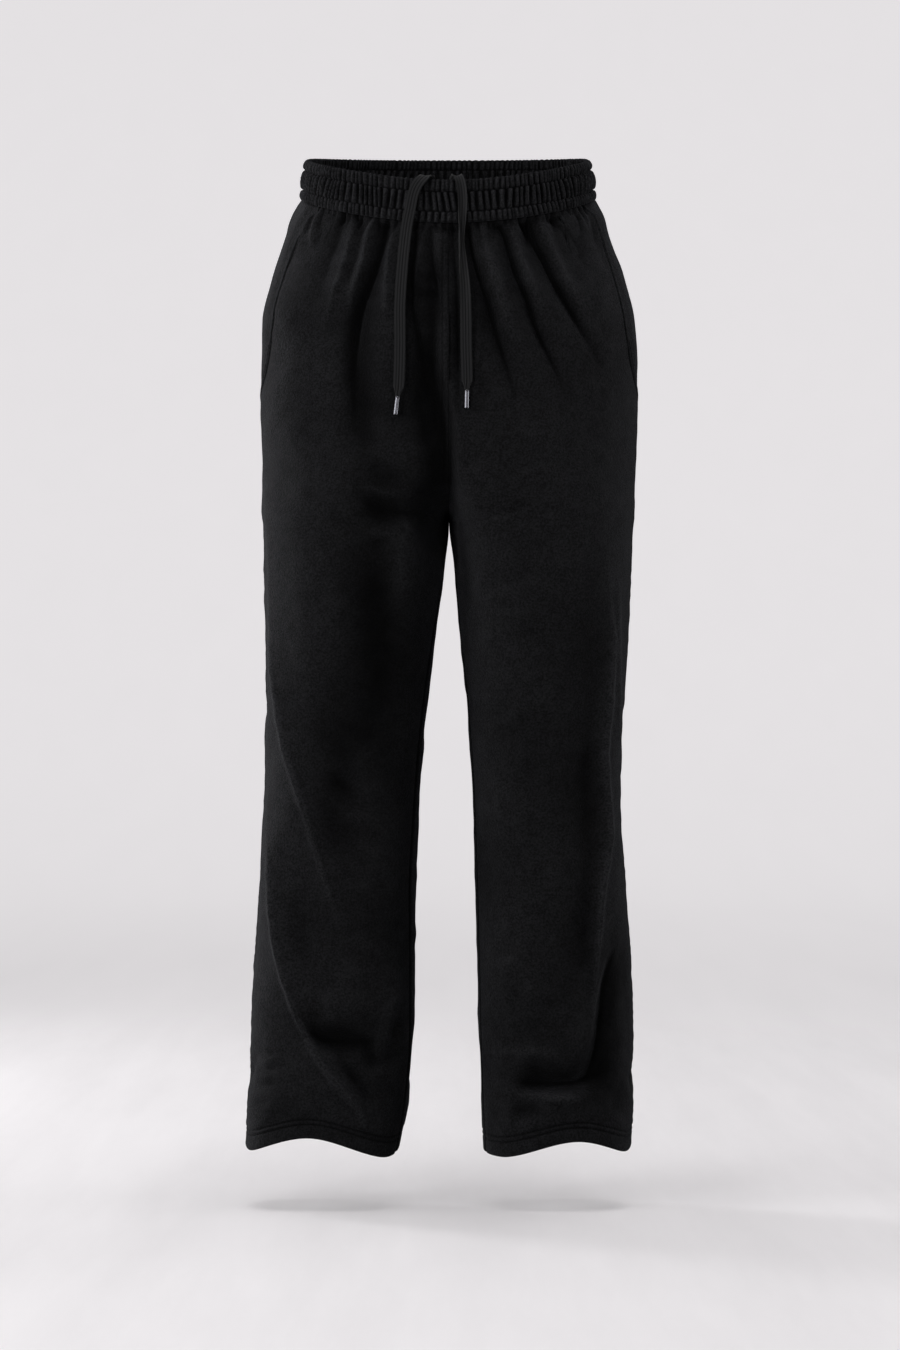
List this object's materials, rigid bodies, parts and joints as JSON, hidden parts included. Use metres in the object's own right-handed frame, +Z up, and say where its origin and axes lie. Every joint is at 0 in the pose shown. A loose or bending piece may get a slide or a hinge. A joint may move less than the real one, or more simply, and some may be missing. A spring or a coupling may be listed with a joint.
{
  "type": "straight-leg sweatpants",
  "caption": "Black straight-leg fleece sweatpants with a gathered elastic waist, a hanging flat drawcord with metal tips, slanted side pockets and plain hems, filled out as when worn",
  "frame": {"origin": "middle of the waist opening, level with the waistband's top edge at the sides", "axes": "+X to the wearer's left, -Y out of the front, +Z up"},
  "size_m": [0.4242, 0.2615, 1.086],
  "materials": {
    "fleece": "brushed cotton fleece, matt with a short nap",
    "cord": "flat woven tape, matt",
    "tip": "polished"
  },
  "bodies": {
    "root": {"waistband": "fleece", "front_right": "fleece", "front_left": "fleece", "back_right": "fleece", "back_left": "fleece", "pocket_right": "fleece", "pocket_left": "fleece", "drawcord_right": "cord", "drawcord_left": "cord", "tip_right": "tip", "tip_left": "tip"}
  },
  "joints": []
}
